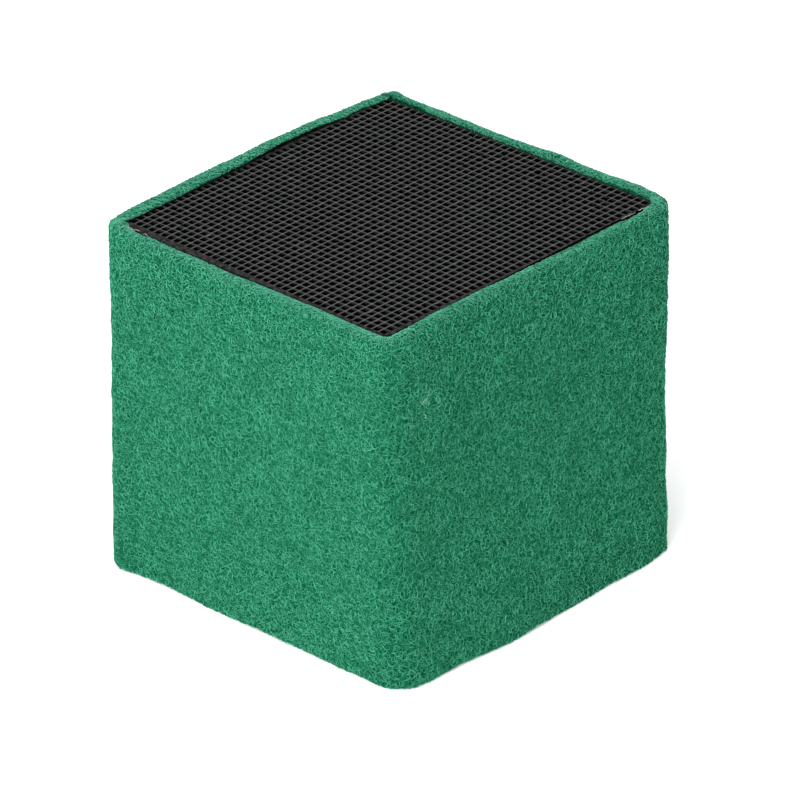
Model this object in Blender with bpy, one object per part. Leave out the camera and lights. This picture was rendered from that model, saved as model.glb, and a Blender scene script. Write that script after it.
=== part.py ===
"""Aquarium filter cube: a honeycomb block of activated carbon in a glued wrap of green felt.

Units are metres and +Z is up. The origin is the centre of the base, on the surface the cube stands on.
The front side faces -Y and the right side faces +X. The felt's two ends meet at the rear left corner.
"""

import math

import bmesh
import bpy

# Carbon block
BLOCK_SIDE = 0.100
BLOCK_HEIGHT = 0.100
BLOCK_CORNER_RADIUS = 0.0012
BLOCK_CORNER_SEGMENTS = 3
FINE_CELLS = 40  # the fired block's cells along each side
FINE_CELL_PITCH = 0.00244
FINE_WALL = 0.0006
CELLS_PER_OPENING = 2  # a modelled opening stands for a group of 2 by 2 fine cells

# Felt strip
FELT_THICKNESS = 0.0035
FELT_HEIGHT = 0.1025
FELT_ABOVE_BLOCK = 0.0005
FELT_CORNER_RADIUS = 0.0045  # the outer face, where the strip bends round the block
FELT_SOFT_CORNER_RADIUS = 0.0075  # the same at the corner opposite the seam, where it is stretched
FELT_CORNER_SEGMENTS = 8
FELT_RIM_RADIUS = 0.0010  # the cut edges, rubbed round on the outside
FELT_RIM_SEGMENTS = 3

# Hot-melt glue
GLUE_STRIP_WIDTH = 0.008
GLUE_STRIP_THICKNESS = 0.0006
GLUE_STRIP_LENGTH = 0.099
GLUE_STRIP_EDGE_RADIUS = 0.00025
GLUE_STRIP_TO_CORNER = 0.009  # from the strip's middle to the nearest corner of the block
GLUE_BEAD_RADIUS = 0.0014
GLUE_BEAD_LENGTH = 0.098
GLUE_BEAD_SIDES = 16

GAP = 0.0003  # between neighbouring pieces

OPENINGS = FINE_CELLS // CELLS_PER_OPENING
OPENING_PITCH = FINE_CELL_PITCH * CELLS_PER_OPENING
OPENING_WALL = FINE_WALL * CELLS_PER_OPENING
BLOCK_TOP = FELT_HEIGHT - FELT_ABOVE_BLOCK
BLOCK_BASE = BLOCK_TOP - BLOCK_HEIGHT
BLOCK_MIDDLE = (BLOCK_TOP + BLOCK_BASE) / 2
HALF_BLOCK = BLOCK_SIDE / 2
HALF_INNER = HALF_BLOCK + GAP
HALF_OUTER = HALF_INNER + FELT_THICKNESS
GLUE_PLACE = HALF_BLOCK - GLUE_STRIP_TO_CORNER
GROOVE_DEPTH = GLUE_STRIP_THICKNESS + GAP  # in the felt's inner face, behind a glue strip
GROOVE_HALF_WIDTH = GLUE_STRIP_WIDTH / 2 + GAP

# Each side: the quarter turns from the front side, and the end of the side that its glue is near
GLUED_SIDES = {"front": (0, -1), "right": (1, 1), "rear": (2, 1), "left": (3, -1)}


def clear_scene():
    for obj in list(bpy.data.objects):
        bpy.data.objects.remove(obj, do_unlink=True)


def material(name, colour, roughness):
    mat = bpy.data.materials.new(name)
    mat.use_nodes = True
    shader = mat.node_tree.nodes["Principled BSDF"]
    shader.inputs["Base Color"].default_value = (*colour, 1.0)
    shader.inputs["Roughness"].default_value = roughness
    shader.inputs["Metallic"].default_value = 0.0
    return mat


def add_object(name, bm, mat):
    """Turn a bmesh into a named object whose faces point outwards."""
    bmesh.ops.recalc_face_normals(bm, faces=bm.faces[:])
    mesh = bpy.data.meshes.new(name)
    bm.to_mesh(mesh)
    bm.free()
    mesh.materials.append(mat)
    obj = bpy.data.objects.new(name, mesh)
    bpy.context.scene.collection.objects.link(obj)
    return obj


def shade_round(obj):
    obj.data.shade_smooth()
    obj.data.set_sharp_from_angle(angle=math.radians(35.0))


def extrude_up(bm, height):
    """Pull the flat faces up into a closed solid."""
    moved = bmesh.ops.extrude_face_region(bm, geom=bm.faces[:])["geom"]
    corners = [item for item in moved if isinstance(item, bmesh.types.BMVert)]
    bmesh.ops.translate(bm, verts=corners, vec=(0.0, 0.0, height))


def bevel_edges(bm, edges, radius, segments):
    bmesh.ops.bevel(bm, geom=edges, offset=radius, segments=segments, profile=0.5, affect="EDGES")


def is_opening(face):
    """True for the middle of an inset grid square, whose sides are all one opening wide."""
    width = OPENING_PITCH - OPENING_WALL
    return all(abs(edge.calc_length() - width) < OPENING_WALL / 4 for edge in face.edges)


def is_block_corner(edge):
    a, b = (vert.co for vert in edge.verts)
    upright = abs(a.z - b.z) > BLOCK_HEIGHT / 2
    return upright and min(abs(a.x), abs(a.y)) > HALF_BLOCK - GAP


def carbon_block(mat):
    """A square block with a grid of openings right through it, inside a thicker outer skin."""
    half_lattice = OPENINGS * OPENING_PITCH / 2
    bm = bmesh.new()
    bmesh.ops.create_grid(bm, x_segments=OPENINGS, y_segments=OPENINGS, size=half_lattice)
    bmesh.ops.inset_individual(bm, faces=bm.faces[:], thickness=OPENING_WALL / 2, use_even_offset=True)
    bmesh.ops.delete(bm, geom=[face for face in bm.faces if is_opening(face)], context="FACES")
    for vert in bm.verts:
        for axis in (0, 1):
            if abs(vert.co[axis]) > half_lattice - OPENING_WALL / 4:
                vert.co[axis] = math.copysign(HALF_BLOCK, vert.co[axis])
        vert.co.z = BLOCK_BASE
    extrude_up(bm, BLOCK_HEIGHT)
    corners = [edge for edge in bm.edges if is_block_corner(edge)]
    bevel_edges(bm, corners, BLOCK_CORNER_RADIUS, BLOCK_CORNER_SEGMENTS)
    return add_object("carbon_block", bm, mat)


def arc(centre, radius, start_degrees, end_degrees, segments):
    points = []
    for step in range(segments + 1):
        angle = math.radians(start_degrees + (end_degrees - start_degrees) * step / segments)
        points.append((centre[0] + radius * math.cos(angle), centre[1] + radius * math.sin(angle)))
    return points


def groove(place):
    """A shallow slot in the felt's inner face, along a side that faces +Y."""
    floor = HALF_INNER + GROOVE_DEPTH
    low = place - GROOVE_HALF_WIDTH
    high = place + GROOVE_HALF_WIDTH
    return [(low, HALF_INNER), (low, floor), (high, floor), (high, HALF_INNER)]


def outer_half():
    """The outer face from the seam, along the rear and right sides, to the corner opposite."""
    reach = HALF_OUTER - FELT_CORNER_RADIUS
    soft_reach = HALF_OUTER - FELT_SOFT_CORNER_RADIUS
    points = [(-HALF_BLOCK, HALF_OUTER)]
    points += arc((reach, reach), FELT_CORNER_RADIUS, 90.0, 0.0, FELT_CORNER_SEGMENTS)
    points += arc((soft_reach, -soft_reach), FELT_SOFT_CORNER_RADIUS, 0.0, -45.0, FELT_CORNER_SEGMENTS // 2)
    return points


def inner_half():
    """The inner face along the same two sides, with a groove for the glue on each."""
    radius = BLOCK_CORNER_RADIUS + GAP
    reach = HALF_INNER - radius
    points = [(-HALF_BLOCK, HALF_INNER)]
    points += groove(-GLUE_PLACE)
    points += arc((reach, reach), radius, 90.0, 0.0, FELT_CORNER_SEGMENTS // 2)
    points += [(y, -x) for x, y in groove(-GLUE_PLACE)]
    points += arc((reach, -reach), radius, 0.0, -45.0, FELT_CORNER_SEGMENTS // 4)
    return points


def both_halves(half):
    """The other two sides mirror these in the diagonal through the seam."""
    return half + [(-y, -x) for x, y in reversed(half[:-1])]


def is_outer_rim(edge):
    a, b = (vert.co for vert in edge.verts)
    level = abs(a.z - b.z) < FELT_HEIGHT / 2
    outside = HALF_INNER + GROOVE_DEPTH + GAP
    return level and all(max(abs(end.x), abs(end.y)) > outside for end in (a, b))


def felt_wrap(mat):
    """One strip bent round three corners of the block, with its cut ends at the fourth."""
    outline = both_halves(outer_half()) + both_halves(inner_half())[::-1]
    bm = bmesh.new()
    bm.faces.new([bm.verts.new((x, y, 0.0)) for x, y in outline])
    extrude_up(bm, FELT_HEIGHT)
    rims = [edge for edge in bm.edges if is_outer_rim(edge)]
    bevel_edges(bm, rims, FELT_RIM_RADIUS, FELT_RIM_SEGMENTS)
    obj = add_object("felt_wrap", bm, mat)
    shade_round(obj)
    return obj


def glue_strip(name, quarter_turns, end, mat):
    """A flat line of glue between the block and the felt, on one side of the block."""
    bm = bmesh.new()
    bmesh.ops.create_cube(bm, size=1.0)
    bmesh.ops.scale(bm, verts=bm.verts[:], vec=(GLUE_STRIP_WIDTH, GLUE_STRIP_THICKNESS, GLUE_STRIP_LENGTH))
    upright = [edge for edge in bm.edges if edge.calc_length() > GLUE_STRIP_LENGTH / 2]
    bevel_edges(bm, upright, GLUE_STRIP_EDGE_RADIUS, 2)
    obj = add_object(name, bm, mat)
    angle = quarter_turns * math.pi / 2
    along = end * GLUE_PLACE
    out = HALF_BLOCK + GAP + GLUE_STRIP_THICKNESS / 2
    x = along * math.cos(angle) + out * math.sin(angle)
    y = along * math.sin(angle) - out * math.cos(angle)
    obj.location = (x, y, BLOCK_MIDDLE)
    obj.rotation_euler = (0.0, 0.0, angle)
    return obj


def seam_glue_bead(mat):
    """The round bead in the notch between the strip's two cut ends."""
    bm = bmesh.new()
    bmesh.ops.create_cone(
        bm,
        cap_ends=True,
        segments=GLUE_BEAD_SIDES,
        radius1=GLUE_BEAD_RADIUS,
        radius2=GLUE_BEAD_RADIUS,
        depth=GLUE_BEAD_LENGTH,
    )
    obj = add_object("seam_glue_bead", bm, mat)
    shade_round(obj)
    reach = HALF_BLOCK + GAP + GLUE_BEAD_RADIUS
    obj.location = (-reach, reach, BLOCK_MIDDLE)
    return obj


def build():
    clear_scene()
    carbon = material("activated_carbon", (0.035, 0.035, 0.036), 0.75)
    felt = material("green_felt", (0.030, 0.270, 0.145), 0.95)
    glue = material("hot_melt_glue", (0.70, 0.66, 0.56), 0.35)
    cube = bpy.data.objects.new("filter_cube", None)
    bpy.context.scene.collection.objects.link(cube)
    pieces = [carbon_block(carbon), felt_wrap(felt), seam_glue_bead(glue)]
    for side, (quarter_turns, end) in GLUED_SIDES.items():
        pieces.append(glue_strip(f"glue_strip_{side}", quarter_turns, end, glue))
    for piece in pieces:
        piece.parent = cube


build()
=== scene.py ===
"""Looks of the aquarium filter cube: a fine honeycomb of activated carbon in a glued wrap of green felt.

Everything is in metres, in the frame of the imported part. The felt is one strip. It starts at the rear
left corner, runs along the rear, right, front and left sides, and ends where it started.
A point on its surface has two coordinates: s, the way along the strip, and q, the way round its section.
"""

import math

import bpy
import numpy as np
from mathutils import Matrix, Vector
from mathutils.geometry import delaunay_2d_cdt


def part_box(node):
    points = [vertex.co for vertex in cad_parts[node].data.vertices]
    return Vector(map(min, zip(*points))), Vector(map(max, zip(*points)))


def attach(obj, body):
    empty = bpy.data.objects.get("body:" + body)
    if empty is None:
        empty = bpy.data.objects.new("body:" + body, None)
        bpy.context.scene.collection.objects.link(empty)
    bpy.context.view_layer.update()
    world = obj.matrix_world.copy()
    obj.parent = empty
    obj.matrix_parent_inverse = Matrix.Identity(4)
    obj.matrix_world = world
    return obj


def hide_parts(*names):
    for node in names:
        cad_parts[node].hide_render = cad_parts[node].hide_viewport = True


MM = 0.001

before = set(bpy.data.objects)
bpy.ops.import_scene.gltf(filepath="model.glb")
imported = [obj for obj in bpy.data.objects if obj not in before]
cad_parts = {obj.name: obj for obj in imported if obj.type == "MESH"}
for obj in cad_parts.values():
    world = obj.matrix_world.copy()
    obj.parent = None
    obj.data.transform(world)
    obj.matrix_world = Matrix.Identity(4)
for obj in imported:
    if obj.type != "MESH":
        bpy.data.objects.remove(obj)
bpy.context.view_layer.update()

block_low, block_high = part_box("carbon_block")
_, felt_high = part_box("felt_wrap")
bead_low, bead_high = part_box("seam_glue_bead")
HALF_BLOCK = block_high.x
BLOCK_BASE = block_low.z
BLOCK_TOP = block_high.z
HALF_OUTER = felt_high.x
FELT_HEIGHT = felt_high.z

# Carbon: the fired block's own fine lattice of square channels, a little askew in the square block
CELLS = 40  # along each side
CELL_WALL = 0.56 * MM
CELL_CORNER = 0.22 * MM
CELL_CHAMFER = 0.07 * MM
MOUTH_DEPTH = 0.22 * MM  # the least that the light reaches down the channels' walls
MOUTH_SPREAD = 0.40 * MM  # and how much more it reaches at random
SKIN_CHAMFER = 0.30 * MM
SKIN_PAINTED_SHEEN = 0.46  # how light the painted sheen makes the outer skin, beside the walls that run front to rear
CROSSWAYS_PAINTED_SHEEN = 0.60  # the same for the walls that run from side to side
TOP_WEAR = 0.05 * MM
CHIPPED_SHARE = 0.03  # of the corners of the walls on the sawn top
CHIP_DEPTHS = (0.05 * MM, 0.35 * MM)
BLOCK_CORNER_RADIUS = 1.2 * MM
BLOCK_CORNER_STEPS = 3
# The block's materials, by number: the channels' walls are painted near black as painted shade, and the
# mouths that face the key light a dim grey as painted light
CUT_FACE = 0
SHADED_CHANNEL = 1
LIT_MOUTH = 2
# The lattice's corners on the block, and how far the sawn top is above or below square there
LATTICE_CORNERS = {
    "rear_left": (-47.9 * MM, 49.6 * MM),
    "rear_right": (49.3 * MM, 49.6 * MM),
    "front_right": (48.4 * MM, -49.6 * MM),
    "front_left": (-47.9 * MM, -47.7 * MM),
}
TOP_RISE = {
    "rear_left": 0.8 * MM,
    "rear_right": 1.0 * MM,
    "front_right": -0.2 * MM,
    "front_left": 0.0,
}

# Felt strip
GAP = 0.3 * MM
FELT_THICKNESS = HALF_OUTER - HALF_BLOCK - GAP
CORNER_RADII = (4.5 * MM, 8.0 * MM, 5.0 * MM)  # right, front and left corner
INNER_RADIUS = 1.5 * MM
OUTER_RIM = 1.9 * MM
FOOT_RIM = 0.9 * MM
INNER_RIM = 0.8 * MM
MAT_DEPTH = 0.25 * MM  # the fibres on top of the matted body
OUTER_ENDS = (2.2 * MM, 1.8 * MM)  # how far the outer face reaches past the block's corner at each end
INNER_ENDS = (0.2 * MM, 0.1 * MM)
STATIONS_PER_SIDE = 92
STATIONS_PER_CORNER = 11
ROWS_PER_FACE = 86
ROWS_PER_RIM = 4
ROWS_PER_EDGE = 2

# Felt fibres
FIBRES = 165000
FIBRES_PER_PIECE = 9200
FIBRE_STEPS = 3
FIBRE_SIDES = 3
FIBRE_RADIUS = 0.145 * MM
FIBRE_LENGTHS = (1.2 * MM, 2.5 * MM)
FIBRE_BEND = 750.0  # radians a metre, along a whole fibre
FIBRE_CURL = 400.0  # radians a metre, added at each step
TIP_DEPTH = 0.15 * MM  # how deep a fibre's tips lie in the matted body
LOWEST_ARCH = 0.20 * MM  # how far the lowest fibres rise over their tips
LAYERS_DEPTH = 0.30 * MM  # how much further the highest ones do
FIBRE_WAVE = 0.10 * MM
MIDDLE_SHADE = 0.50
UNDERSIDE_PAINTED_SHADE = 0.66  # painted shade: how much darker a fibre's lower faces are painted than its top
RIM_FLATNESS = 0.45  # how much lower the fibres lie on the top edge
RIM_EVENNESS = 0.45  # and how much less their shades differ there
RIM_PALLOR = 0.7
LINT_FIBRES = 10
LINT_STEPS = 8
LINT_LENGTHS = (1.6 * MM, 3.2 * MM)
LINT_LAYER = 1.1  # on top of all the other fibres

# Glue
GLUE_STEPS = 90
GLUE_WIDTH_SHARE = 0.8  # of the line's width in the CAD
GLUE_WANDER = 0.35 * MM
RIDGE_STEPS = 40
BEAD_STEPS = 110
BEAD_WIDTH_SHARE = 0.66
BEAD_WANDER = 0.12 * MM
BEAD_FOOT_GAP = 0.3 * MM
BEAD_TOP_GAP = 2.3 * MM  # the felt's ends close over it

SEED = 7


def lerp_points(s, stations, values):
    return np.stack([np.interp(s, stations, values[:, axis]) for axis in range(values.shape[1])], -1)


def smoothstep(low, high, x):
    t = np.clip((x - low) / (high - low), 0.0, 1.0)
    return t * t * (3.0 - 2.0 * t)


def bump(centre, width, x):
    return np.exp(-(((x - centre) / width) ** 2))


def mesh_object(name, points, faces, material, smooth=True, material_index=None):
    """faces is a list of arrays, each of faces with one number of corners."""
    mesh = bpy.data.meshes.new(name)
    mesh.vertices.add(len(points))
    mesh.vertices.foreach_set("co", np.asarray(points, np.float32).ravel())
    sizes = np.concatenate([np.full(len(group), group.shape[1]) for group in faces])
    starts = np.concatenate([[0], np.cumsum(sizes)[:-1]]).astype(np.int32)
    corners = np.concatenate([group.ravel() for group in faces]).astype(np.int32)
    mesh.loops.add(len(corners))
    mesh.loops.foreach_set("vertex_index", corners)
    mesh.polygons.add(len(sizes))
    mesh.polygons.foreach_set("loop_start", starts)
    if material_index is not None:
        mesh.polygons.foreach_set("material_index", np.asarray(material_index, np.int32))
    mesh.update(calc_edges=True)
    for each in material if isinstance(material, (list, tuple)) else [material]:
        mesh.materials.append(each)
    if smooth:
        mesh.shade_smooth()
    obj = bpy.data.objects.new(name, mesh)
    bpy.context.scene.collection.objects.link(obj)
    return obj


# Materials


class Shader:
    """A Principled material and short ways to add nodes to it."""

    def __init__(self, name, **values):
        self.material = bpy.data.materials.new(name)
        self.material.use_nodes = True
        self.tree = self.material.node_tree
        self.bsdf = self.tree.nodes["Principled BSDF"]
        for socket, value in values.items():
            self.bsdf.inputs[socket.replace("_", " ")].default_value = value
        self.coords = self.tree.nodes.new("ShaderNodeTexCoord").outputs["Object"]

    def link(self, output, socket):
        self.tree.links.new(output, socket)

    def noise(self, size, detail=3.0, roughness=0.55):
        """Noise whose features are about size metres across, from 0 to 1."""
        node = self.tree.nodes.new("ShaderNodeTexNoise")
        node.inputs["Scale"].default_value = 1.0 / size
        node.inputs["Detail"].default_value = detail
        node.inputs["Roughness"].default_value = roughness
        self.link(self.coords, node.inputs["Vector"])
        return node.outputs["Fac"]

    def math(self, operation, *values):
        node = self.tree.nodes.new("ShaderNodeMath")
        node.operation = operation
        for socket, value in zip(node.inputs, values):
            if isinstance(value, (int, float)):
                socket.default_value = value
            else:
                self.link(value, socket)
        return node.outputs["Value"]

    def brighter(self, one, two):
        return self.math("MAXIMUM", one, two)

    def strands(self, size, offset=0.0):
        """Thin curly lines about size metres apart: the places where smooth noise crosses its middle."""
        node = self.tree.nodes.new("ShaderNodeTexNoise")
        node.noise_dimensions = "4D"
        node.inputs["W"].default_value = offset
        node.inputs["Scale"].default_value = 1.0 / size
        node.inputs["Detail"].default_value = 1.0
        node.inputs["Distortion"].default_value = 0.8
        self.link(self.coords, node.inputs["Vector"])
        away = self.math("ABSOLUTE", self.math("SUBTRACT", node.outputs["Fac"], 0.5))
        return self.math("SUBTRACT", 1.0, self.math("MINIMUM", self.math("MULTIPLY", away, 14.0), 1.0))

    def attribute(self, name):
        node = self.tree.nodes.new("ShaderNodeAttribute")
        node.attribute_name = name
        return node.outputs["Fac"]

    def ramp(self, value, stops):
        """stops is a list of (place, colour)."""
        node = self.tree.nodes.new("ShaderNodeValToRGB")
        elements = node.color_ramp.elements
        while len(elements) < len(stops):
            elements.new(0.5)
        for element, (place, colour) in zip(elements, stops):
            element.position = place
            element.color = (*colour, 1.0)
        self.link(value, node.inputs["Fac"])
        return node.outputs["Color"]

    def multiply(self, colour, other):
        node = self.tree.nodes.new("ShaderNodeMix")
        node.data_type = "RGBA"
        node.blend_type = "MULTIPLY"
        node.inputs["Factor"].default_value = 1.0
        self.link(colour, node.inputs["A"])
        self.link(other, node.inputs["B"])
        return node.outputs["Result"]

    def mix(self, one, two, factor):
        """The first colour where factor is 0, the second where it is 1."""
        node = self.tree.nodes.new("ShaderNodeMix")
        node.data_type = "RGBA"
        self.link(factor, node.inputs["Factor"])
        self.link(one, node.inputs["A"])
        self.link(two, node.inputs["B"])
        return node.outputs["Result"]

    def span(self, value, low, high):
        """Noise turned into values from about low to about high."""
        node = self.tree.nodes.new("ShaderNodeMapRange")
        node.inputs["From Min"].default_value = 0.3
        node.inputs["From Max"].default_value = 0.7
        node.inputs["To Min"].default_value = low
        node.inputs["To Max"].default_value = high
        self.link(value, node.inputs["Value"])
        return node.outputs["Result"]

    def colour(self, output):
        self.link(output, self.bsdf.inputs["Base Color"])

    def roughness(self, output):
        self.link(output, self.bsdf.inputs["Roughness"])

    def bump(self, height, distance, strength=1.0):
        node = self.tree.nodes.new("ShaderNodeBump")
        node.inputs["Distance"].default_value = distance
        node.inputs["Strength"].default_value = strength
        self.link(height, node.inputs["Height"])
        self.link(node.outputs["Normal"], self.bsdf.inputs["Normal"])


def grey(value):
    return (value, value, value)


def felt_ground():
    """The matted depth of the felt, seen between the fibres that lie on top, its green painted much
    darker than theirs as painted shade in the gaps.
    """
    shader = Shader("felt_ground", Specular_IOR_Level=0.02)
    strands = shader.brighter(shader.strands(1.0 * MM), shader.strands(0.7 * MM, 3.7))
    # Painted shade: these greens are far darker than the fibres', for the shade between them
    base = shader.ramp(
        strands, [(0.0, (0.0, 0.045, 0.018)), (0.5, (0.004, 0.120, 0.058)), (1.0, (0.016, 0.260, 0.130))]
    )
    patches = shader.ramp(shader.noise(9 * MM, 3.0), [(0.30, grey(0.85)), (0.70, grey(1.0))])
    shader.colour(shader.multiply(base, patches))
    shader.roughness(shader.span(shader.noise(2 * MM), 0.85, 1.0))
    shader.bump(strands, 0.25 * MM)
    return shader.material


def felt_fibre():
    """Dyed fibres, each with a tone of its own, painted darker on their undersides and lower in the mat
    as painted shade, and greyer over the strip's top cut edge.
    """
    shader = Shader("felt_fibre", Specular_IOR_Level=0.05)
    shades = shader.ramp(
        shader.attribute("shade"),
        [
            (0.0, (0.001, 0.046, 0.019)),
            (0.5, (0.013, 0.218, 0.105)),
            (1.0, (0.130, 0.590, 0.372)),
        ],
    )
    cut_edge = shader.ramp(
        shader.attribute("shade"),
        [
            (0.0, (0.012, 0.090, 0.052)),
            (0.5, (0.056, 0.265, 0.172)),
            (1.0, (0.220, 0.560, 0.420)),
        ],
    )
    dye_and_painted_shade = shader.mix(shades, cut_edge, shader.attribute("wear_and_edge_pallor"))
    patches = shader.ramp(shader.noise(11 * MM, 3.0), [(0.30, grey(0.88)), (0.70, grey(1.0))])
    shader.colour(shader.multiply(dye_and_painted_shade, patches))
    shader.roughness(shader.span(shader.noise(1.5 * MM), 0.7, 0.95))
    shader.bump(shader.noise(0.12 * MM, 2.0), 0.02 * MM, 0.5)
    return shader.material


def felt_lint():
    """Paler, bleached fibres."""
    shader = Shader("felt_lint", Specular_IOR_Level=0.2)
    shader.colour(
        shader.ramp(shader.noise(0.8 * MM), [(0.30, (0.10, 0.38, 0.26)), (0.70, (0.24, 0.56, 0.41))])
    )
    shader.roughness(shader.span(shader.noise(1.0 * MM), 0.7, 0.95))
    shader.bump(shader.noise(0.12 * MM, 2.0), 0.02 * MM, 0.5)
    return shader.material


def carbon_cut_face():
    """The sawn ends and the outer skin: dull grey, with a painted sheen that is brightest on the walls
    that run front to rear.
    """
    shader = Shader("carbon_cut_face", Specular_IOR_Level=0.08)
    base = shader.ramp(
        shader.noise(1.3 * MM, 4.0, 0.7),
        [(0.28, (0.046, 0.047, 0.048)), (0.55, (0.066, 0.066, 0.066)), (0.75, (0.092, 0.088, 0.087))],
    )
    dust = shader.ramp(
        shader.noise(9 * MM, 2.0), [(0.35, (0.94, 1.02, 1.0)), (0.70, (1.06, 0.97, 0.97))]
    )
    # Painted sheen: the sawn top is painted lighter or darker by the direction of its walls
    painted_sheen = shader.ramp(shader.attribute("painted_sheen"), [(0.0, grey(0.0)), (1.0, grey(1.0))])
    # The skin, which gets the least painted sheen, is rough and blotchy
    blotches = shader.ramp(shader.noise(1.5 * MM, 4.0, 0.7), [(0.42, grey(0.20)), (0.60, grey(1.2))])
    lattice = shader.ramp(shader.attribute("painted_sheen"), [(0.50, grey(0.0)), (0.56, grey(1.0))])
    mottled = shader.multiply(shader.multiply(base, dust), shader.brighter(blotches, lattice))
    shader.colour(shader.multiply(mottled, painted_sheen))
    shader.roughness(shader.span(shader.noise(0.8 * MM), 0.60, 0.85))
    shader.bump(shader.noise(0.25 * MM, 4.0, 0.7), 0.06 * MM, 0.7)
    return shader.material


def carbon_channel_painted_shade(name, dark, light):
    """The walls of the channels: painted nearly black, as painted shade deep in the channels, and a dim
    grey at the mouths that face the light, as painted light.
    """
    shader = Shader(name, Specular_IOR_Level=0.0)
    shader.colour(
        shader.ramp(shader.noise(1.1 * MM, 4.0), [(0.3, grey(dark)), (0.7, grey(light))])
    )
    shader.roughness(shader.span(shader.noise(0.8 * MM), 0.85, 1.0))
    shader.bump(shader.noise(0.3 * MM, 4.0, 0.7), 0.05 * MM, 0.6)
    return shader.material


def hot_melt_glue():
    """Cloudy, slightly yellow hot-melt glue."""
    shader = Shader(
        "hot_melt_glue", Specular_IOR_Level=0.5, Subsurface_Weight=0.15, Subsurface_Scale=0.0015
    )
    shader.colour(
        shader.ramp(
            shader.noise(1.8 * MM, 3.0), [(0.3, (0.20, 0.19, 0.16)), (0.7, (0.36, 0.34, 0.29))]
        )
    )
    shader.roughness(shader.span(shader.noise(1.2 * MM), 0.25, 0.5))
    shader.bump(shader.noise(0.9 * MM, 3.0), 0.12 * MM, 0.5)
    return shader.material


# Carbon block


def across_block(table, u, v):
    """A value between the four corners' values, where u and v run from -1 to 1."""
    rear_left, rear_right, front_right, front_left = (
        np.array(table[name]) for name in ("rear_left", "rear_right", "front_right", "front_left")
    )
    u, v = (np.asarray(w)[..., None] if rear_left.ndim else np.asarray(w) for w in (u, v))
    rear = rear_left * (1 - u) / 2 + rear_right * (1 + u) / 2
    front = front_left * (1 - u) / 2 + front_right * (1 + u) / 2
    return rear * (1 + v) / 2 + front * (1 - v) / 2


def top_rise(x, y):
    """How much higher the sawn top is at a place than on a square block."""
    return across_block(TOP_RISE, x / HALF_BLOCK, y / HALF_BLOCK)


def cell_outline(column, row):
    """The four corners of one opening, anticlockwise."""
    near = CELL_WALL / 2 * CELLS / (2 * HALF_BLOCK)
    far = 1 - near
    square = np.array([(near, near), (far, near), (far, far), (near, far)])
    u, v = (np.array([column, row]) + square).T * 2 / CELLS - 1
    return across_block(LATTICE_CORNERS, u, v)


def inset(outline, distance):
    """A convex outline moved inwards."""
    points = np.array(outline)
    ahead = np.roll(points, -1, axis=0) - points
    ahead /= np.linalg.norm(ahead, axis=1, keepdims=True)
    inward = np.stack([-ahead[:, 1], ahead[:, 0]], 1)
    bisector = inward + np.roll(inward, 1, axis=0)
    return points + bisector * distance / (0.5 * np.sum(bisector**2, axis=1))[:, None]


def round_corners(outline, cut):
    """Each corner replaced by two points, cut metres back along its sides."""
    points = []
    count = len(outline)
    for i in range(count):
        here = np.array(outline[i])
        for other in (outline[i - 1], outline[(i + 1) % count]):
            way = np.array(other) - here
            length = np.linalg.norm(way)
            points.append(here + way / length * min(cut, length * 0.3))
    return np.array(points)


def block_outline(half):
    """The block's square outline with small round corners."""
    points = []
    reach = half - BLOCK_CORNER_RADIUS
    for quarter, (x, y) in enumerate(((1, 1), (-1, 1), (-1, -1), (1, -1))):
        for step in range(BLOCK_CORNER_STEPS + 1):
            angle = math.radians(90 * quarter + 90 * step / BLOCK_CORNER_STEPS)
            radius = BLOCK_CORNER_RADIUS
            points.append((x * reach + radius * math.cos(angle), y * reach + radius * math.sin(angle)))
    return np.array(points)


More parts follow.
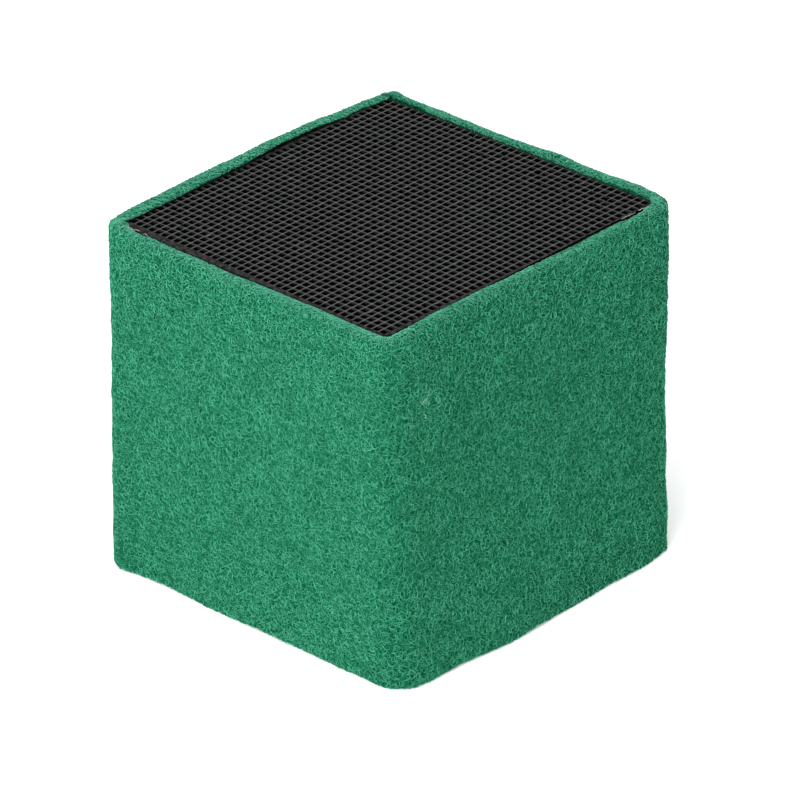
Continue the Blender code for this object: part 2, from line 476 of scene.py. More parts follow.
def carbon_block(materials):
    """The block with its fine channels right through it."""
    rng = np.random.default_rng(SEED)
    rings = [
        round_corners(cell_outline(column, row), CELL_CORNER)
        for column in range(CELLS)
        for row in range(CELLS)
    ]
    skin_mouth = block_outline(HALF_BLOCK - SKIN_CHAMFER)
    skin = block_outline(HALF_BLOCK)
    mouths = [inset(ring, -CELL_CHAMFER) for ring in rings]
    loops = [skin_mouth] + mouths
    flat = np.concatenate(loops)
    edges = []
    start = 0
    for loop in loops:
        count = len(loop)
        edges += [(start + i, start + (i + 1) % count) for i in range(count)]
        start += count
    cap, painted_sheen = open_cap(flat, edges, loops)
    walls = [skin] + rings
    wall_flat = np.concatenate(walls)
    count = len(flat)
    chamfer = np.where(np.arange(count) < len(skin_mouth), SKIN_CHAMFER, CELL_CHAMFER)
    wear_and_edge_pallor = rng.uniform(0.0, TOP_WEAR, count)
    chips = rng.random(count) < CHIPPED_SHARE
    wear_and_edge_pallor = wear_and_edge_pallor + np.where(chips, rng.uniform(*CHIP_DEPTHS, count), 0.0)
    wear_and_edge_pallor[: len(skin_mouth)] = 0.0
    rise = top_rise(wall_flat[:, 0], wall_flat[:, 1])
    top = BLOCK_TOP - wear_and_edge_pallor + rise
    mouth_foot = BLOCK_TOP - MOUTH_DEPTH - CELL_CHAMFER - MOUTH_SPREAD * rng.random(count) + rise
    levels = [
        (flat, top),
        (wall_flat, top - chamfer),
        (wall_flat, mouth_foot),
        (wall_flat, BLOCK_BASE + chamfer),
        (flat, np.full(count, BLOCK_BASE)),
    ]
    points = np.concatenate([np.column_stack([xy, z]) for xy, z in levels])
    a, b = np.array(edges).T
    # The outer loop runs anticlockwise and so does each cell's, whose walls face the other way
    outside = a < len(skin_mouth)
    first = np.where(outside, a, b)
    second = np.where(outside, b, a)
    sides = []
    bands = len(levels) - 1
    for level in range(bands):
        upper = level * count
        lower = upper + count
        sides.append(np.column_stack([first + upper, first + lower, second + lower, second + upper]))
    faces = [cap, cap[:, ::-1] + bands * count, *sides]
    run = wall_flat[b] - wall_flat[a]
    # Painted light and shade: channel walls that face the key light get the dim grey painted light at
    # their mouths, the others the near-black painted shade, and the skin's chamfer along the right side
    # gets the painted shade as a painted shadow
    towards_light = ~outside & (run[:, 0] < -np.abs(run[:, 1]))
    away_from_light = outside & (run[:, 1] > 0.5 * np.abs(run[:, 0]))
    chamfers = np.where(towards_light, LIT_MOUTH, np.where(away_from_light, SHADED_CHANNEL, CUT_FACE))
    mouth = np.where(outside, CUT_FACE, np.where(towards_light, LIT_MOUTH, SHADED_CHANNEL))
    depth = np.where(outside, CUT_FACE, SHADED_CHANNEL)
    foot = np.full(len(a), CUT_FACE)
    ends = np.full(len(cap), CUT_FACE)
    slots = np.concatenate([ends, ends, chamfers, mouth, depth, foot])
    block = mesh_object("carbon_honeycomb", points, faces, materials, smooth=False, material_index=slots)
    painted_sheen_values = np.concatenate([painted_sheen, painted_sheen, np.full(bands * len(a), SKIN_PAINTED_SHEEN)]).astype(np.float32)
    block.data.attributes.new("painted_sheen", "FLOAT", "FACE").data.foreach_set("value", painted_sheen_values)
    return block


def open_cap(flat, edges, loops):
    """Triangles between the outer outline and the cell outlines, and how light the painted sheen makes
    each one.
    """
    found = delaunay_2d_cdt([Vector(p) for p in flat], edges, [], 0, 1e-9)
    triangles, origins = found[2], found[3]
    number = np.array([o[0] if o else -1 for o in origins])
    owner = np.concatenate([np.full(len(loop), i) for i, loop in enumerate(loops)])
    triangles = number[np.array([t for t in triangles if len(t) == 3])]
    owners = owner[triangles]
    in_cell = (owners[:, 0] == owners[:, 1]) & (owners[:, 1] == owners[:, 2]) & (owners[:, 0] > 0)
    kept = triangles[~in_cell]
    owners = owners[~in_cell]
    one, two = (flat[kept[:, i]] - flat[kept[:, 0]] for i in (1, 2))
    downwards = one[:, 0] * two[:, 1] < one[:, 1] * two[:, 0]
    kept[downwards] = kept[downwards][:, ::-1]
    column = (owners - 1) // CELLS
    in_skin = (owners == 0).any(axis=1)
    crossways = (column == column[:, :1]).all(axis=1)
    # Painted sheen: walls that run front to rear lightest, walls that run side to side less, the skin
    # least
    painted_sheen = np.where(in_skin, SKIN_PAINTED_SHEEN, np.where(crossways, CROSSWAYS_PAINTED_SHEEN, 1.0))
    return kept, painted_sheen


# Felt: the strip's two outlines, seen from above


def strip_line(half, radii, end):
    """Points and outward directions along one face of the strip, from the seam and back to it."""
    points = []
    outward = []
    middles = [(1, 1), (1, -1), (-1, -1)]
    reaches = [half - radius for radius in radii]
    corners = [(x * reach, y * reach) for (x, y), reach in zip(middles, reaches)]
    starts = [(-HALF_BLOCK - end[0], half)]
    stops = []
    for i, (cx, cy) in enumerate(corners):
        angle = math.radians(90 - 90 * i)
        stops.append((cx + radii[i] * math.cos(angle), cy + radii[i] * math.sin(angle)))
        angle = math.radians(-90 * i)
        starts.append((cx + radii[i] * math.cos(angle), cy + radii[i] * math.sin(angle)))
    stops.append((-half, HALF_BLOCK + end[1]))
    for i in range(4):
        facing = math.radians(90 - 90 * i)
        steps = np.linspace(0.0, 1.0, STATIONS_PER_SIDE + 1)
        for t in steps:
            points.append(np.array(starts[i]) * (1 - t) + np.array(stops[i]) * t)
            outward.append((math.cos(facing), math.sin(facing)))
        if i == 3:
            break
        for step in range(1, STATIONS_PER_CORNER):
            angle = facing - math.pi / 2 * step / STATIONS_PER_CORNER
            direction = np.array((math.cos(angle), math.sin(angle)))
            points.append(np.array(corners[i]) + direction * radii[i])
            outward.append(tuple(direction))
    return np.array(points), np.array(outward)


OUTER_LINE, OUTWARD = strip_line(HALF_OUTER, CORNER_RADII, OUTER_ENDS)
INNER_LINE, _ = strip_line(HALF_BLOCK + GAP, (INNER_RADIUS,) * 3, INNER_ENDS)
STATIONS = np.concatenate([[0.0], np.cumsum(np.linalg.norm(np.diff(OUTER_LINE, axis=0), axis=1))])
STRIP_LENGTH = STATIONS[-1]
corner_stations = [
    STATIONS[(i + 1) * (STATIONS_PER_SIDE + STATIONS_PER_CORNER) - STATIONS_PER_CORNER // 2 - 1]
    for i in range(3)
]
RIGHT_CORNER, FRONT_CORNER, LEFT_CORNER = corner_stations


def section_line():
    """The strip's cross-section as (depth from the outer face, height), with its outward directions."""
    depth, height = FELT_THICKNESS, FELT_HEIGHT
    points = []
    outward = []

    def run(start, stop, rows, direction):
        for t in np.linspace(0.0, 1.0, rows + 1)[:-1]:
            points.append(tuple(a * (1 - t) + b * t for a, b in zip(start, stop)))
            outward.append(direction)

    def turn(middle, radius, start):
        for step in range(ROWS_PER_RIM):
            angle = math.radians(start - 90 * step / ROWS_PER_RIM)
            direction = (math.cos(angle), math.sin(angle))
            points.append(tuple(m + radius * c for m, c in zip(middle, direction)))
            outward.append(direction)

    run((0, FOOT_RIM), (0, height - OUTER_RIM), ROWS_PER_FACE, (-1, 0))
    turn((OUTER_RIM, height - OUTER_RIM), OUTER_RIM, 180)
    run((OUTER_RIM, height), (depth - INNER_RIM, height), ROWS_PER_EDGE, (0, 1))
    turn((depth - INNER_RIM, height - INNER_RIM), INNER_RIM, 90)
    run((depth, height - INNER_RIM), (depth, INNER_RIM), ROWS_PER_FACE, (1, 0))
    turn((depth - INNER_RIM, INNER_RIM), INNER_RIM, 0)
    run((depth - INNER_RIM, 0), (FOOT_RIM, 0), ROWS_PER_EDGE, (0, -1))
    turn((FOOT_RIM, FOOT_RIM), FOOT_RIM, -90)
    return np.array(points), np.array(outward)


SECTION, SECTION_OUT = section_line()
CLOSED_SECTION = np.concatenate([SECTION, SECTION[:1]])
section_steps = np.linalg.norm(np.diff(CLOSED_SECTION, axis=0), axis=1)
SECTION_AT = np.concatenate([[0.0], np.cumsum(section_steps)])
SECTION_LENGTH = SECTION_AT[-1]
INNER_FACE_ROW = ROWS_PER_FACE + 2 * ROWS_PER_RIM + ROWS_PER_EDGE
INNER_FOOT_ROW = INNER_FACE_ROW + ROWS_PER_FACE
# Where the fibres lie
FIRST_S = 0.1 * MM
LAST_S = STRIP_LENGTH - 0.1 * MM
LOWEST_Q = SECTION_AT[INNER_FOOT_ROW] - SECTION_LENGTH  # under the bottom edge, to the inner face
HIGHEST_Q = SECTION_AT[INNER_FACE_ROW] + 0.5 * MM  # over the top edge, to the inner face


class Relief:
    """Smooth random heights over the strip, with unit deviation."""

    STEP = 0.5 * MM

    def __init__(self, rng, size):
        shape = (int(STRIP_LENGTH / self.STEP) + 2, int(SECTION_LENGTH / self.STEP) + 2)
        noise = rng.standard_normal(shape)
        waves = [np.fft.fftfreq(n, self.STEP) for n in shape]
        distance = waves[0][:, None] ** 2 + waves[1][None, :] ** 2
        smooth = np.fft.ifft2(np.fft.fft2(noise) * np.exp(-distance * (math.pi * size) ** 2)).real
        self.grid = smooth / smooth.std()

    def __call__(self, s, q):
        rows, columns = self.grid.shape
        x = np.clip(s / self.STEP, 0, rows - 1.001)
        y = np.mod(q, SECTION_LENGTH) / self.STEP
        i, j = x.astype(int), y.astype(int)
        u, v = x - i, y - j
        k = (j + 1) % columns
        grid = self.grid
        return (
            grid[i, j] * (1 - u) * (1 - v)
            + grid[i + 1, j] * u * (1 - v)
            + grid[i, k] * (1 - u) * v
            + grid[i + 1, k] * u * v
        )


relief_rng = np.random.default_rng(SEED + 1)
BROAD = Relief(relief_rng, 16 * MM)
LUMPS = Relief(relief_rng, 5.0 * MM)
PITS = Relief(relief_rng, 1.8 * MM)


def side_value(s, rear, right, front, left):
    """A value for each side of the cube, blended over the corners."""
    value = np.full_like(s, rear)
    for place, before, after in (
        (RIGHT_CORNER, rear, right),
        (FRONT_CORNER, right, front),
        (LEFT_CORNER, front, left),
    ):
        value = value + (after - before) * smoothstep(place - 4 * MM, place + 4 * MM, s)
    return value


def lean(s, z):
    """How far the outer face stands out from the plain strip: it isn't stretched evenly."""
    low = 1.0 - smoothstep(0.0, 0.8 * FELT_HEIGHT, z)
    high = smoothstep(0.35 * FELT_HEIGHT, FELT_HEIGHT, z)
    foot = 1.0 - smoothstep(0.0, 0.45 * FELT_HEIGHT, z)
    return (
        bump(LEFT_CORNER, 9 * MM, s) * (1.4 * MM * low - 1.3 * MM * high)
        + bump(RIGHT_CORNER, 9 * MM, s) * (-0.6 * MM - 1.3 * MM * low + 0.5 * MM * high)
        + bump(0.0, 7 * MM, s) * 0.5 * MM
        - bump(STRIP_LENGTH, 6 * MM, s) * 1.0 * MM
        + side_value(s, 0.0, 1.0 * MM, 0.5 * MM, 0.0) * foot
        + bump(FRONT_CORNER - 40 * MM, 20 * MM, s) * 1.9 * MM * foot
    )


def rim_lift(s):
    """How far the top edge is above the plain strip's."""
    return (
        side_value(s, 0.45 * MM, 0.0, 0.0, 0.25 * MM)
        + bump(3.5 * MM, 4.5 * MM, s) * 1.2 * MM
        - bump(0.0, 2.0 * MM, s) * 0.9 * MM
        + bump(13 * MM, 5 * MM, s) * 0.45 * MM
        + bump(32 * MM, 14 * MM, s) * 0.4 * MM
        + bump(RIGHT_CORNER - 11 * MM, 7 * MM, s) * 0.7 * MM
        + bump(LEFT_CORNER, 7 * MM, s) * 0.25 * MM
        + bump(STRIP_LENGTH - 38 * MM, 18 * MM, s) * 1.0 * MM
    )


def lip(s):
    """How far the inner edge leans in over the block's top."""
    return (
        bump(RIGHT_CORNER, 4 * MM, s) * 1.2 * MM
        + bump(LEFT_CORNER, 8 * MM, s) * 3.2 * MM
        - bump(LEFT_CORNER - 50 * MM, 45 * MM, s) * 0.4 * MM
        + smoothstep(LEFT_CORNER, LEFT_CORNER + 12 * MM, s) * 3.5 * MM
        - smoothstep(STRIP_LENGTH - 75 * MM, STRIP_LENGTH - 25 * MM, s) * 1.2 * MM
        + bump(STRIP_LENGTH - 6 * MM, 14 * MM, s) * 1.3 * MM
        + bump(0.0, 4 * MM, s) * 0.5 * MM
    )


def end_shift(s, z, share):
    """How far points near the two ends move, in x and y: above the glue they close the seam."""
    over_glue = smoothstep(FELT_HEIGHT - 3.2 * MM, FELT_HEIGHT - 1.4 * MM, z)
    first = (1 - smoothstep(0.0, 7 * MM, s)) * over_glue * (2.2 * share - 1.1) * MM
    last = smoothstep(STRIP_LENGTH - 7 * MM, STRIP_LENGTH, s) * over_glue * (1 - share) * -0.9 * MM
    return np.stack([-first, last], -1)


def glue_station(side):
    """Where the glue line on one side of the block is along the strip."""
    outward, axis, sign = {
        "rear": ((0, 1), 0, 1),
        "right": ((1, 0), 1, -1),
        "front": ((0, -1), 0, -1),
        "left": ((-1, 0), 1, 1),
    }[side]
    low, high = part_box(f"glue_strip_{side}")
    on_side = OUTWARD @ np.array(outward) > 0.999
    along = OUTER_LINE[on_side, axis] * sign
    return float(np.interp(sign * (low[axis] + high[axis]) / 2, along, STATIONS[on_side]))


GLUE_STATIONS = [glue_station(side) for side in ("rear", "right", "front", "left")]


def groove(s):
    """Room behind the felt for the four lines of glue."""
    room = np.zeros_like(s)
    for station in GLUE_STATIONS:
        room = room + 0.75 * MM * (1 - smoothstep(3.4 * MM, 5.0 * MM, np.abs(s - station)))
    return room


def place(s, q, rise):
    """Points at height rise over the felt's matted body, and the outward directions there."""
    out = lerp_points(s, STATIONS, OUTER_LINE)
    inn = lerp_points(s, STATIONS, INNER_LINE)
    away = lerp_points(s, STATIONS, OUTWARD)
    away = away / np.linalg.norm(away, axis=-1, keepdims=True)
    around = np.mod(q, SECTION_LENGTH)
    section = lerp_points(around, SECTION_AT, CLOSED_SECTION)
    turned = lerp_points(around, SECTION_AT, np.concatenate([SECTION_OUT, SECTION_OUT[:1]]))
    turned = turned / np.linalg.norm(turned, axis=-1, keepdims=True)
    z = section[..., 1]
    share = (section[..., 0] / FELT_THICKNESS)[..., None]
    flat = out * (1 - share) + inn * share
    on_top = smoothstep(FELT_HEIGHT - INNER_RIM, FELT_HEIGHT - 0.6 * INNER_RIM, z)
    inward = lip(s) * on_top
    flat = flat + away * (lean(s, z)[..., None] * (1 - share) + (groove(s) - inward)[..., None] * share)
    flat = flat + end_shift(s, z, share[..., 0])
    high = smoothstep(0.80 * FELT_HEIGHT, FELT_HEIGHT, z)
    low = 1 - smoothstep(0.0, 0.04 * FELT_HEIGHT, z)
    edge = BROAD(s, z) * 0.10 * MM + LUMPS(s, z + 7 * MM) * 0.10 * MM
    slope = top_rise(flat[..., 0], flat[..., 1])
    z = z + high * (rim_lift(s) + slope + edge) + low * np.maximum(edge, -0.1 * MM)
    z = z + on_top * share[..., 0] * np.maximum(inward, 0) * 0.12
    soft = 1 - 0.88 * share[..., 0] * smoothstep(0.0, 0.5, np.abs(turned[..., 0]))
    height = BROAD(s, q) * 0.18 * MM + LUMPS(s, q) * 0.09 * MM + PITS(s, q) * 0.05 * MM
    normal = np.concatenate([away * -turned[..., :1], turned[..., 1:]], -1)
    points = np.concatenate([flat, z[..., None]], -1)
    points = points + normal * (height * soft + rise - MAT_DEPTH)[..., None]
    return points, normal


def felt_shell(material):
    """The matted body of the strip, closed at its two cut ends."""
    rows = len(SECTION)
    s, q = np.meshgrid(STATIONS, SECTION_AT[:-1], indexing="ij")
    grid, _ = place(s, q, np.zeros_like(s))
    grid[..., 2] = np.maximum(grid[..., 2], 0.05 * MM)
    columns = len(grid)
    i, j = np.meshgrid(np.arange(columns - 1), np.arange(rows), indexing="ij")
    k = (j + 1) % rows
    quads = np.stack([i * rows + j, i * rows + k, (i + 1) * rows + k, (i + 1) * rows + j], -1)
    points = [grid.reshape(-1, 3)]
    faces = [quads.reshape(-1, 4)]
    extra = columns * rows
    for ring, start, along, flip in (
        (grid[0], 0, np.array([-1.0, 0.0, 0.0]), True),
        (grid[-1], extra - rows, np.array([0.0, 1.0, 0.0]), False),
    ):
        inside, patch, tips = cut_end(ring, start, along, extra)
        extra += len(inside)
        points.append(inside)
        faces += [patch[:, ::-1], tips[:, ::-1]] if flip else [patch, tips]
    return mesh_object("felt_strip", np.concatenate(points), faces, material)


# The cut end's shape across the strip, from the outer face to the inner face: a soft lip that curls
# over the bead of glue, then the hollow the bead lies in
END_DEPTHS = np.array([0.0, 0.06, 0.15, 0.24, 0.32, 0.42, 0.55, 0.70, 0.85, 0.95, 1.0])
END_SHAPE = np.array([0.0, 0.40, 0.62, 0.55, 0.10, -0.75, -1.00, -0.75, -0.35, -0.08, 0.0]) * MM
END_SHAPE_ON_TOP = np.array([0.0, 0.25, 0.45, 0.55, 0.55, 0.55, 0.55, 0.55, 0.45, 0.25, 0.0]) * MM


def cut_end(ring, start, along, extra):
    """New points across one cut end, and the faces that close it with the section's own points."""
    rows = len(ring)
    reach = ROWS_PER_RIM + ROWS_PER_EDGE // 2
    outer = np.arange(1 - reach, ROWS_PER_FACE + reach)
    inner = (INNER_FOOT_ROW - outer) % rows
    outer = outer % rows
    over_glue = smoothstep(FELT_HEIGHT - 3.0 * MM, FELT_HEIGHT - 1.2 * MM, ring[outer, 2])[:, None]
    under_glue = 1 - smoothstep(1.0 * MM, 2.5 * MM, ring[outer, 2])[:, None]
    closed_end = np.maximum(over_glue, under_glue)
    inner_steps = slice(1, len(END_DEPTHS) - 1)
    t = END_DEPTHS[inner_steps]
    shape = END_SHAPE[inner_steps] * (1 - closed_end) + END_SHAPE_ON_TOP[inner_steps] * closed_end
    tall = np.abs(np.linspace(-1, 1, len(outer)))
    shape = shape * np.sqrt(np.clip(1 - tall**24, 0.1, 1))[:, None]
    inside = ring[outer][:, None] * (1 - t)[:, None] + ring[inner][:, None] * t[:, None]
    inside = inside + along * shape[..., None]
    numbers = extra + np.arange(len(outer) * len(t)).reshape(len(outer), len(t))
    grid = np.column_stack([start + outer, numbers, start + inner])
    patch = np.stack([grid[:-1, :-1], grid[1:, :-1], grid[1:, 1:], grid[:-1, 1:]], -1).reshape(-1, 4)
    below = np.concatenate([grid[0], [start + (inner[0] + 1) % rows]])
    above = np.concatenate([grid[-1][::-1], [start + (outer[-1] + 1) % rows]])
    return inside.reshape(-1, 3), patch, np.array([below, above])


# Felt fibres


def mirrored(x, low, high):
    """x folded back where it runs past low or high."""
    span = high - low
    t = np.mod(x - low, 2 * span)
    return low + np.where(t > span, 2 * span - t, t)


def evenly_spread(rng, count, low, high):
    """About count points between low and high: one at a random place in each square of a grid."""
    size = np.subtract(high, low)
    columns = round(math.sqrt(count * size[0] / size[1]))
    rows = count // columns
    i, j = np.meshgrid(np.arange(columns), np.arange(rows), indexing="ij")
    squares = np.stack([i.ravel(), j.ravel()], -1)
    return low + (squares + rng.random(squares.shape)) / (columns, rows) * size


def fibre_paths(rng, middles, steps, lengths):
    """Curly paths over the surface, in s and q, each with its middle at a given place."""
    count = len(middles)
    heading = rng.uniform(0, 2 * np.pi, (count, 1))
    length = rng.uniform(*lengths, (count, 1))
    step = length / steps
    bend = rng.normal(0, 1, (count, 1)) * FIBRE_BEND
    bend = bend + np.cumsum(rng.normal(0, FIBRE_CURL, (count, steps)), 1)
    angle = heading + np.cumsum(bend * step, 1)
    s, q = (
        np.concatenate([np.zeros((count, 1)), np.cumsum(turned(angle) * step, 1)], 1)
        for turned in (np.cos, np.sin)
    )
    s += middles[:, :1] - s.mean(1, keepdims=True)
    q += middles[:, 1:] - q.mean(1, keepdims=True)
    return mirrored(s, FIRST_S, LAST_S), mirrored(q, LOWEST_Q, HIGHEST_Q)


def fibre_mesh(name, rng, s, q, layer, radius, shade, material):
    """Closed thin tubes along the paths. layer is each one's height in the mat, from 0 to 1."""
    count, knots = s.shape
    t = np.linspace(0, 1, knots)[None, :]
    ends = np.sin(np.pi * t) ** 0.6
    wave = np.sin(2 * np.pi * (t * rng.uniform(0.5, 1.3, (count, 1)) + rng.random((count, 1))))
    on_rim = smoothstep(HIGHEST_Q - 6.0 * MM, HIGHEST_Q - 3.5 * MM, q)
    above = LOWEST_ARCH + layer[:, None] * LAYERS_DEPTH + wave * FIBRE_WAVE
    rise = ends * above * (1 - RIM_FLATNESS * on_rim) - TIP_DEPTH
    points, normal = place(s, q, rise)
    points[..., 2] = np.maximum(points[..., 2], 1.2 * radius)
    along = np.gradient(points, axis=1)
    along /= np.linalg.norm(along, axis=2, keepdims=True) + 1e-12
    across = np.cross(along, normal)
    across /= np.linalg.norm(across, axis=2, keepdims=True) + 1e-12
    lift = np.cross(across, along)
    width = radius * (0.55 + 0.45 * ends)
    turn = 2 * np.pi * np.arange(FIBRE_SIDES) / FIBRE_SIDES
    lift_share = np.maximum(np.cos(turn), 0)
    ring = (
        np.cos(turn)[None, None, :, None] * lift[:, :, None, :]
        + np.sin(turn)[None, None, :, None] * across[:, :, None, :]
    )
    points = points[:, :, None, :] + ring * width[:, :, None, None]
    base = (np.arange(count) * knots * FIBRE_SIDES)[:, None, None]
    i = np.arange(knots - 1)[None, :, None] * FIBRE_SIDES
    j = np.arange(FIBRE_SIDES)[None, None, :]
    k = (j + 1) % FIBRE_SIDES
    next_ring = base + i + FIBRE_SIDES
    quads = np.stack([base + i + j, base + i + k, next_ring + k, next_ring + j], -1)
    first = base[:, 0] + np.arange(FIBRE_SIDES)[None, ::-1]
    last = base[:, 0] + (knots - 1) * FIBRE_SIDES + np.arange(FIBRE_SIDES)[None, :]
    obj = mesh_object(name, points.reshape(-1, 3), [quads.reshape(-1, 4), first, last], material)
    # Painted shade: each fibre is painted lightest along its top and darker on its lower faces, where it
    # lies against the others
    darker = UNDERSIDE_PAINTED_SHADE * (1 - lift_share)
    contrast = 1 - RIM_EVENNESS * on_rim[:, :, None]
    shades = MIDDLE_SHADE + contrast * (shade[:, None, None] - darker[None, None, :] - MIDDLE_SHADE)
    # The fibres over the top edge are coloured lighter and greyer
    wear_and_edge_pallor = RIM_PALLOR * on_rim[:, :, None] * np.ones((1, 1, FIBRE_SIDES))
    for attribute, values in (("shade", np.clip(shades, 0, 1)), ("wear_and_edge_pallor", wear_and_edge_pallor)):
        values = values.ravel().astype(np.float32)
        obj.data.attributes.new(attribute, "FLOAT", "POINT").data.foreach_set("value", values)
    return obj


def felt_fibres(material):
    """The fibres on the surface, in pieces by their place along the strip."""
    rng = np.random.default_rng(SEED + 2)
    middles = evenly_spread(rng, FIBRES, (FIRST_S, LOWEST_Q), (LAST_S, HIGHEST_Q))
    total = len(middles)
    s, q = fibre_paths(rng, middles, FIBRE_STEPS, FIBRE_LENGTHS)
    layer = rng.random(total)
    radius = FIBRE_RADIUS * rng.uniform(0.75, 1.2, (total, 1))
    # Each fibre's own random tone, with painted shade that makes the lower fibres in the mat darker and
    # the higher ones lighter
    shade = np.clip(0.60 + 0.34 * layer + rng.normal(0, 0.14, total), 0, 1)
    pieces = []
    count = math.ceil(total / FIBRES_PER_PIECE)
    for number, chosen in enumerate(np.array_split(np.arange(total), count)):
        pieces.append(
            fibre_mesh(
                f"felt_fibres_{number + 1:02d}",
                rng,
                s[chosen],
                q[chosen],
                layer[chosen],
                radius[chosen],
                shade[chosen],
                material,
            )
        )
    return pieces


def lint(material):
    """A few paler fibres caught in the felt, on the right side near the front corner."""
    rng = np.random.default_rng(SEED + 4)
    middle = np.array([FRONT_CORNER - 11 * MM, 81 * MM])
    spread = np.array([1.2, 2.6]) * MM
    middles = middle + rng.normal(0, 1, (LINT_FIBRES, 2)) * spread
    s, q = fibre_paths(rng, middles, LINT_STEPS, LINT_LENGTHS)
    layer = np.full(LINT_FIBRES, LINT_LAYER)
    radius = FIBRE_RADIUS * rng.uniform(0.8, 1.1, (LINT_FIBRES, 1))
    return fibre_mesh("felt_lint", rng, s, q, layer, radius, layer, material)


# Hot-melt glue


def lumpy_tube(path, width, depth, across, rng, sides=14):
    """Points and faces of a closed, uneven ribbon or bead along a path of 3-D points."""
    path = np.asarray(path)
    count = len(path)
    along = np.gradient(path, axis=0)
    along /= np.linalg.norm(along, axis=1, keepdims=True)
    across = np.asarray(across, float)
    out = np.cross(along, across)
    turn = 2 * np.pi * np.arange(sides) / sides
    t = np.linspace(0, 1, count)
    taper = np.sqrt(np.clip(1 - (2 * t - 1) ** 8, 0.03, 1))
    swell = 1 + 0.12 * wander(rng, count, 5) + 0.06 * wander(rng, count, 2)
    half_width = (width / 2 * taper * swell)[:, None, None]
    half_depth = (depth / 2 * taper * np.minimum(swell, 1.0))[:, None, None]
    ring = (
        across[None, None, :] * (np.cos(turn)[None, :, None] * half_width)
        + out[:, None, :] * (np.sin(turn)[None, :, None] * half_depth)
    )
    points = (path[:, None, :] + ring).reshape(-1, 3)
    i, j = np.meshgrid(np.arange(count - 1), np.arange(sides), indexing="ij")
    k = (j + 1) % sides
    quads = np.stack([i * sides + j, i * sides + k, (i + 1) * sides + k, (i + 1) * sides + j], -1)
    caps = np.array([np.arange(sides)[::-1], np.arange(sides) + (count - 1) * sides])
    return points, quads.reshape(-1, 4), caps


def glue_piece(name, tubes, material):
    """One object made of several tubes."""
    points = np.concatenate([tube[0] for tube in tubes])
    start = 0
    faces = []
    for tube_points, quads, caps in tubes:
        faces += [quads + start, caps + start]
        start += len(tube_points)
    return mesh_object(name, points, faces, material)


def squeezed_out(rng, start, stop, width):
    """A thin ridge of glue that came up between the block and the felt."""
    count = RIDGE_STEPS
    t = np.linspace(0, 1, count)[:, None]
    path = np.array([*start, BLOCK_TOP]) * (1 - t) + np.array([*stop, BLOCK_TOP]) * t
    side = np.array([start[1] - stop[1], stop[0] - start[0], 0.0])
    side /= np.linalg.norm(side)
    path += side * (0.08 * MM * wander(rng, count, 4))[:, None]
    path[:, 2] += top_rise(path[:, 0], path[:, 1]) + width * 0.55 + 0.06 * MM * wander(rng, count, 2)
    return lumpy_tube(path, width, width, side, rng, 10)


def wander(rng, count, size):
    """A smooth random line with unit deviation."""
    kernel = np.exp(-0.5 * (np.arange(-3 * size, 3 * size + 1) / size) ** 2)
    line = np.convolve(rng.standard_normal(count + 6 * size), kernel, "valid")
    return line / line.std()


def glue(material):
    """The four flat lines behind the felt and the bead in the corner seam."""
    rng = np.random.default_rng(SEED + 3)
    edge = HALF_BLOCK + 0.20 * MM
    ridges = {
        "front": [
            ((-46.0 * MM, -edge - 0.4 * MM), (-41.0 * MM, -edge + 0.2 * MM), 0.28 * MM),
            ((-39.4 * MM, -edge - 0.1 * MM), (-37.2 * MM, -edge - 0.3 * MM), 0.20 * MM),
        ],
        "right": [
            ((edge, 48.0 * MM), (edge, 43.5 * MM), 0.26 * MM),
            ((edge, 42.5 * MM), (edge, 37.0 * MM), 0.22 * MM),
        ],
    }
    made = []
    for side, axis in (("front", 0), ("right", 1), ("rear", 0), ("left", 1)):
        node = f"glue_strip_{side}"
        low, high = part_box(node)
        middle = np.array((low + high) / 2)
        size = np.array(high - low)
        path = np.tile(middle, (GLUE_STEPS, 1))
        path[:, 2] = np.linspace(low.z, high.z, GLUE_STEPS)
        path[:, axis] += GLUE_WANDER * wander(rng, GLUE_STEPS, 8)
        across = np.eye(3)[axis]
        tubes = [lumpy_tube(path, size[axis] * GLUE_WIDTH_SHARE, size[1 - axis], across, rng)]
        tubes += [squeezed_out(rng, *ridge) for ridge in ridges.get(side, [])]
        ribbon = glue_piece(f"glue_line_{side}", tubes, material)
        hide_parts(node)
        made.append(ribbon)
    middle = np.array((bead_low + bead_high) / 2)
    width = (bead_high.x - bead_low.x) * BEAD_WIDTH_SHARE
    path = np.tile(middle, (BEAD_STEPS, 1))
    path[:, :2] += np.array([0.2 * MM, -0.2 * MM])
    path[:, 2] = np.linspace(bead_low.z + BEAD_FOOT_GAP, bead_high.z - BEAD_TOP_GAP, BEAD_STEPS)
    path[:, 0] += BEAD_WANDER * wander(rng, BEAD_STEPS, 5)
    path[:, 1] += BEAD_WANDER * wander(rng, BEAD_STEPS, 5)
    bead = glue_piece("seam_glue", [lumpy_tube(path, width, width, (1, 0, 0), rng)], material)
    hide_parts("seam_glue_bead")
    made.append(bead)
    return made


# Stage


def floor():
    """A plain pale floor with a slight glow of its own."""
    shader = Shader("studio_floor", Roughness=0.9, Specular_IOR_Level=0.1)
    shader.colour(shader.ramp(shader.noise(0.5, 1.0), [(0.3, grey(0.90)), (0.7, grey(0.91))]))
    shader.bsdf.inputs["Emission Color"].default_value = (1.0, 1.0, 1.0, 1.0)
    shader.bsdf.inputs["Emission Strength"].default_value = 0.24
    half = 4.0
    points = [(-half, -half, 0), (half, -half, 0), (half, half, 0), (-half, half, 0)]
    plane = mesh_object("studio_floor", points, [np.array([[0, 1, 2, 3]])], shader.material, False)


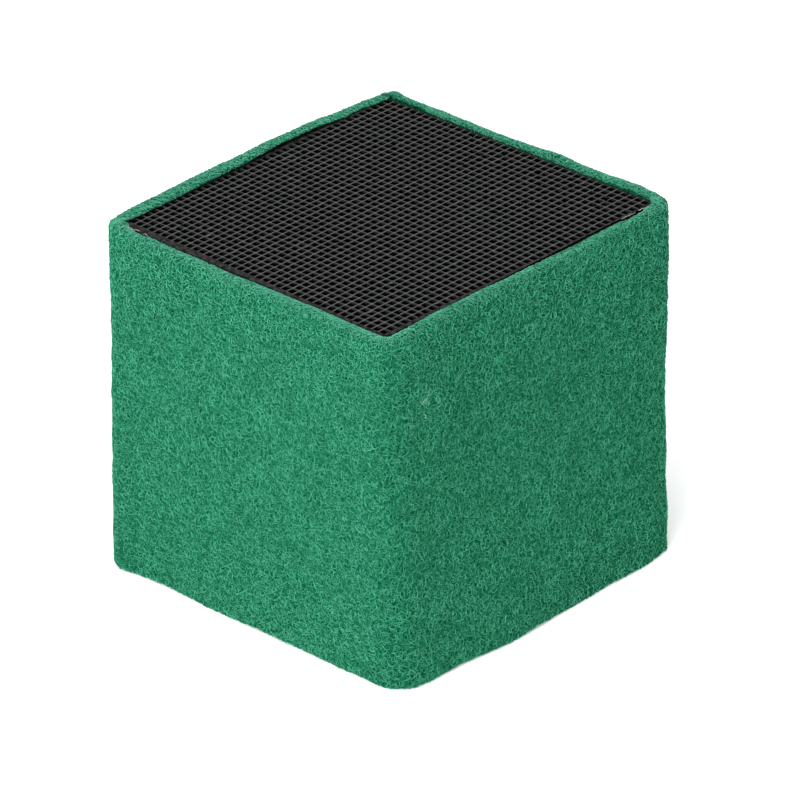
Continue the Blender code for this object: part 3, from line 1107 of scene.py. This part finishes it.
def area_light(name, direction, distance, size, watts):
    """A round soft light that faces the middle of the cube."""
    lamp = bpy.data.lights.new(name, "AREA")
    lamp.shape = "DISK"
    lamp.size = size
    lamp.energy = watts
    obj = bpy.data.objects.new(name, lamp)
    way = Vector(direction).normalized()
    obj.location = Vector((0, 0, FELT_HEIGHT / 2)) + way * distance
    obj.rotation_euler = way.to_track_quat("Z", "Y").to_euler()
    bpy.context.scene.collection.objects.link(obj)


def lights():
    area_light("top_light", direction=(0.05, -0.22, 1.0), distance=1.6, size=1.6, watts=31)
    area_light("key_light", direction=(0.52, -1.0, 0.46), distance=1.8, size=0.9, watts=27)
    area_light("back_light", direction=(-0.5, 1.0, 0.45), distance=1.8, size=1.4, watts=9)
    world = bpy.data.worlds.new("studio")
    world.use_nodes = True
    background = world.node_tree.nodes["Background"]
    background.inputs["Color"].default_value = (1.0, 1.0, 1.0, 1.0)
    background.inputs["Strength"].default_value = 0.17
    bpy.context.scene.world = world


def camera():
    """A long lens from the front right, a little above, turned slightly about its own line of sight."""
    azimuth, elevation, roll = (math.radians(a) for a in (45.32, 27.57, -1.82))
    distance = 2.0
    lens = 339.0
    to_right, down = 2.42 * MM, 3.90 * MM
    back = Vector(
        (
            math.sin(azimuth) * math.cos(elevation),
            -math.cos(azimuth) * math.cos(elevation),
            math.sin(elevation),
        )
    )
    right = Vector((0, 0, 1)).cross(back).normalized()
    up = back.cross(right)
    turned_right = right * math.cos(roll) + up * math.sin(roll)
    turned_up = up * math.cos(roll) - right * math.sin(roll)
    data = bpy.data.cameras.new("camera")
    data.lens = lens
    data.sensor_width = 36.0
    obj = bpy.data.objects.new("camera", data)
    middle = Vector((0, 0, FELT_HEIGHT / 2))
    eye = middle + back * distance + turned_right * to_right - turned_up * down
    axes = Matrix((turned_right, turned_up, back)).transposed().to_4x4()
    obj.matrix_world = Matrix.Translation(eye) @ axes
    bpy.context.scene.collection.objects.link(obj)
    bpy.context.scene.camera = obj


def build():
    block = carbon_block(
        [
            carbon_cut_face(),
            # Painted shade in the channels, and painted light at the mouths that face the key light
            carbon_channel_painted_shade("carbon_channel_painted_shade", 0.0004, 0.001),
            carbon_channel_painted_shade("carbon_mouth_painted_light", 0.008, 0.018),
        ]
    )
    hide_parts("carbon_block")
    shell = felt_shell(felt_ground())
    fibres = [*felt_fibres(felt_fibre()), lint(felt_lint())]
    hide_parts("felt_wrap")
    glued = glue(hot_melt_glue())
    for piece in [block, shell, *fibres, *glued]:
        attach(piece, "root")


build()
floor()
lights()
camera()
bpy.context.scene.view_settings.view_transform = "Standard"
bpy.context.view_layer.update()
